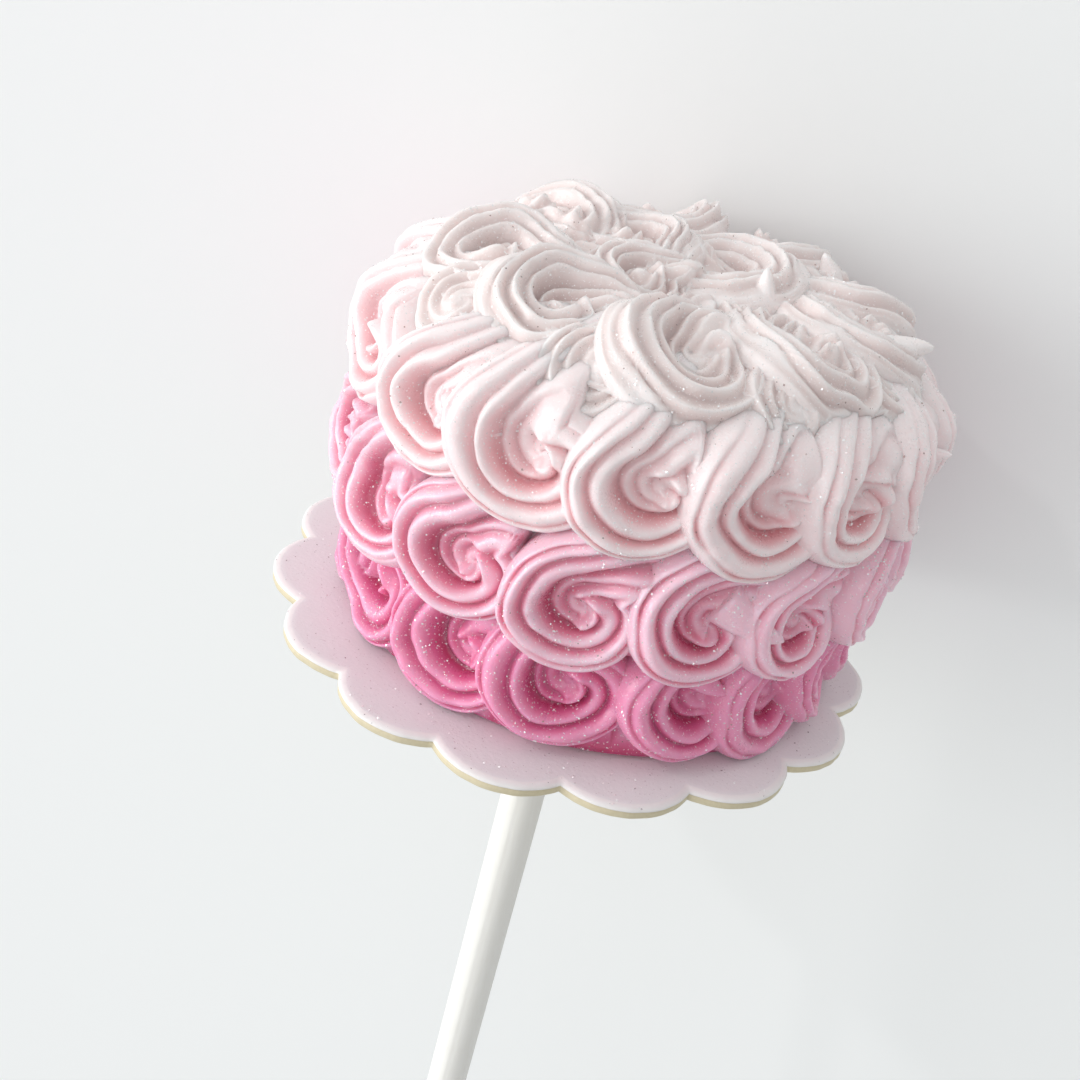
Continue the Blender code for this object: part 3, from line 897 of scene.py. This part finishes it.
def add_area(name, direction, distance, size, power):
    """A square light that faces the cake, from a side given in the camera's own directions."""
    data = bpy.data.lights.new(name, "AREA")
    data.size = size
    data.energy = power
    light = bpy.data.objects.new(name, data)
    bpy.context.scene.collection.objects.link(light)
    turn = camera.matrix_world.to_3x3()
    away = (turn @ Vector(direction)).normalized()
    light.location = TO_WORLD @ Vector(LAMP_TARGET) + away * distance
    light.rotation_mode = "QUATERNION"
    light.rotation_quaternion = away.to_track_quat("Z", "Y")


def add_floor():
    corners = ((-1, -1, 0), (1, -1, 0), (1, 1, 0), (-1, 1, 0))
    points = np.array(corners) * FLOOR_HALF
    floor = mesh_object("floor", points, [(0, 1, 2, 3)], smooth=False)
    material, _, shader = new_material("floor_paint")
    shader.inputs["Base Color"].default_value = FLOOR_PAINT
    shader.inputs["Roughness"].default_value = 0.9
    floor.data.materials.append(material)


def add_world():
    """An even studio tent, brighter on the key light's side."""
    world = bpy.data.worlds.new("studio")
    world.use_nodes = True
    tree = world.node_tree
    back = tree.nodes["Background"]
    back.inputs["Color"].default_value = TENT_WHITE
    place = tree.nodes.new("ShaderNodeTexCoord")
    towards = tree.nodes.new("ShaderNodeVectorMath")
    towards.operation = "DOT_PRODUCT"
    towards.inputs[1].default_value = (camera.matrix_world.to_3x3() @ Vector(KEY_SIDE)).normalized()
    level = tree.nodes.new("ShaderNodeMath")
    level.operation = "MULTIPLY_ADD"
    level.inputs[1].default_value = TENT_SLOPE
    level.inputs[2].default_value = TENT_LEVEL
    tree.links.new(place.outputs["Generated"], towards.inputs[0])
    tree.links.new(towards.outputs["Value"], level.inputs[0])
    tree.links.new(level.outputs["Value"], back.inputs["Strength"])
    bpy.context.scene.world = world


camera = add_camera()
add_world()
add_floor()
add_area("key", KEY_SIDE, **KEY_LAMP)
for n, side in enumerate(SPARKLE_SIDES):
    add_area(f"sparkle_{n}", side, **SPARKLE_LAMP)
bpy.context.scene.view_settings.view_transform = "Standard"

# Looks of the icings, in the order they are made: colour on crests, between and in grooves, the
# colour that each fades to and where up its band it does, and how far light scatters in it
# The colours between crests and in grooves are darker as painted shade
ICINGS = {
    "middle_row": dict(slot="mid_pink_icing", crest=(0.89, 0.595, 0.695), middle=(0.78, 0.27, 0.39),
                       groove=(0.57, 0.08, 0.17), pale=(0.87, 0.58, 0.66), fade=(0.6, 1.4),
                       scatter=(1.0, 0.45, 0.50)),
    "bottom_row": dict(slot="deep_pink_icing", crest=(0.82, 0.33, 0.51), middle=(0.69, 0.135, 0.30),
                       groove=(0.46, 0.035, 0.12), pale=(0.81, 0.32, 0.49), fade=(0.6, 1.5),
                       scatter=(1.0, 0.45, 0.50)),
    "upper_row": dict(slot="pale_pink_icing", crest=(0.90, 0.765, 0.775), middle=(0.835, 0.51, 0.535),
                      groove=(0.69, 0.255, 0.285), pale=(0.895, 0.81, 0.805), fade=(0.40, 1.1),
                      scatter=(0.80, 0.60, 0.60)),
    "top_icing": dict(slot="white_icing", crest=(0.90, 0.835, 0.825), middle=(0.79, 0.69, 0.67),
                      groove=(0.62, 0.47, 0.45), pale=(0.90, 0.84, 0.83), fade=(0.7, 1.8),
                      scatter=(0.70, 0.60, 0.58)),
}
pieces = {}
for seed, (node, look) in enumerate(ICINGS.items(), start=1):
    if node == "top_icing":
        piece = top_piece(seed)
        settle(piece, TOP_LOW - TOP_FADE_BELOW, TOP_HIGH + TOP_PROUD)
    else:
        piece = band_piece(node, seed)
        settle(piece, BANDS[node]["low"] - BAND_FADE_BELOW, BANDS[node]["high"])
    slot = look.pop("slot")
    piece.data.materials.clear()
    piece.data.materials.append(icing_material(slot, **look))
    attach(piece, "root")
    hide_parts(node)
    pieces[node] = piece

board = board_piece()
board.data.materials.append(board_material())
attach(board, "root")
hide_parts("board")
pieces["board"] = board
stick = stick_piece()
stick.data.materials.append(stick_material())
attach(stick, "root")
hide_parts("stick")

for name, plan in GLITTER.items():
    glitter = flakes_on(name, [pieces[node] for node in plan["on"]], plan["count"], plan["seed"])
    glitter.data.materials.append(glitter_material(name, plan["metal"], BRIGHT_FLAKE, plan["dark_reflection"]))
    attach(glitter, "root")
